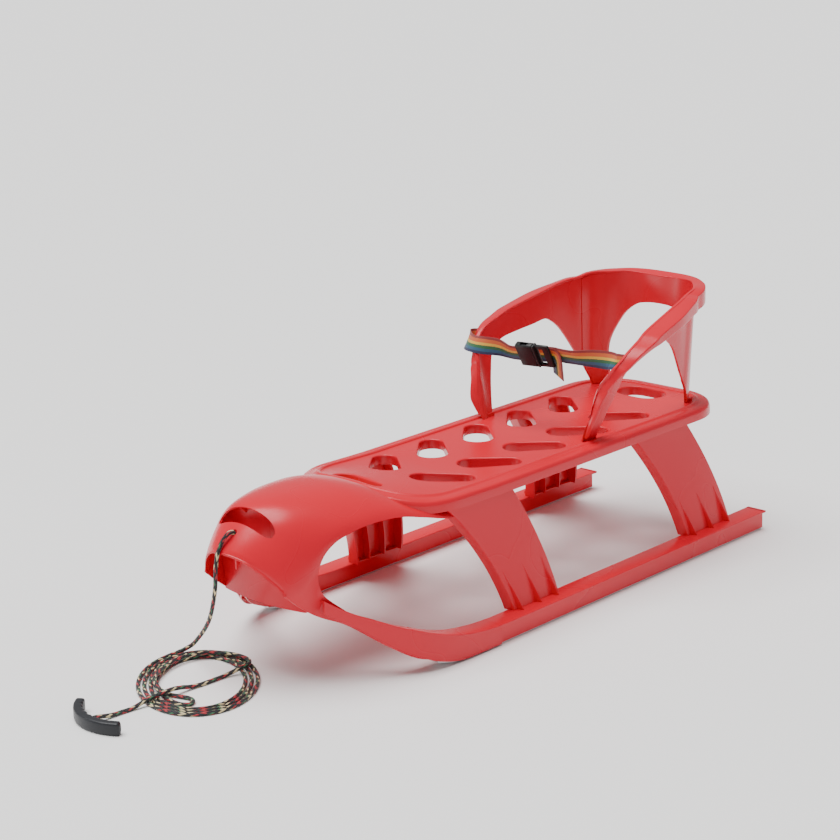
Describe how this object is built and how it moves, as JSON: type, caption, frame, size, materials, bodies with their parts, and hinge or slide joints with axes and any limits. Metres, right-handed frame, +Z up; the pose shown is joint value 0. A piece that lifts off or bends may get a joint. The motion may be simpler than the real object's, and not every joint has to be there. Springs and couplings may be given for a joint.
{
  "type": "baby pull sled",
  "caption": "Moulded plastic pull sled with an arched nose, a perforated deck on leaning legs, steel-shod rails, a clip-on backrest with a buckled belt, and a pull rope with a bowed handle.",
  "frame": {"origin": "middle of the sled's footprint, on the ground under the steel runners, halfway between the rear ends and the nose's lip", "axes": "+Z up, +Y towards the rear (the nose points to -Y), +X to the side on which the near arm of the backrest has the belt slot"},
  "size_m": [0.38, 1.2203, 0.4021],
  "materials": {
    "red_plastic": "semi-gloss moulded red polypropylene",
    "runner_steel": "plain rolled steel strip",
    "screw_steel": "zinc-plated",
    "belt_webbing": "woven webbing with lengthwise rainbow stripes",
    "black_plastic": "satin black acetal",
    "rope_cord": "braided polypropylene cord",
    "handle_plastic": "satin charcoal plastic"
  },
  "bodies": {
    "sled": {"sled_body": "red_plastic", "runner_right": "runner_steel", "runner_left": "runner_steel", "runner_screw_right_1": "screw_steel", "runner_screw_right_2": "screw_steel", "runner_screw_right_3": "screw_steel", "runner_screw_right_4": "screw_steel", "runner_screw_left_1": "screw_steel", "runner_screw_left_2": "screw_steel", "runner_screw_left_3": "screw_steel", "runner_screw_left_4": "screw_steel", "rope_lead": "rope_cord", "rope_coil": "rope_cord", "rope_end": "rope_cord", "rope_knot": "rope_cord", "pull_handle": "handle_plastic"},
    "backrest": {"backrest": "red_plastic", "belt_left": "belt_webbing", "belt_right": "belt_webbing", "buckle_housing": "black_plastic"},
    "buckle_latch": {"buckle_latch": "black_plastic"}
  },
  "joints": [
    {"name": "backrest_lift", "type": "slide", "parent": "sled", "child": "backrest", "axis": [0, 0, 1], "range_m": [0, 0.035]},
    {"name": "buckle_release", "type": "slide", "parent": "backrest", "child": "buckle_latch", "axis": [0.9979, 0.042, 0.05], "range_m": [0, 0.028], "deforming": ["belt_right"]}
  ]
}
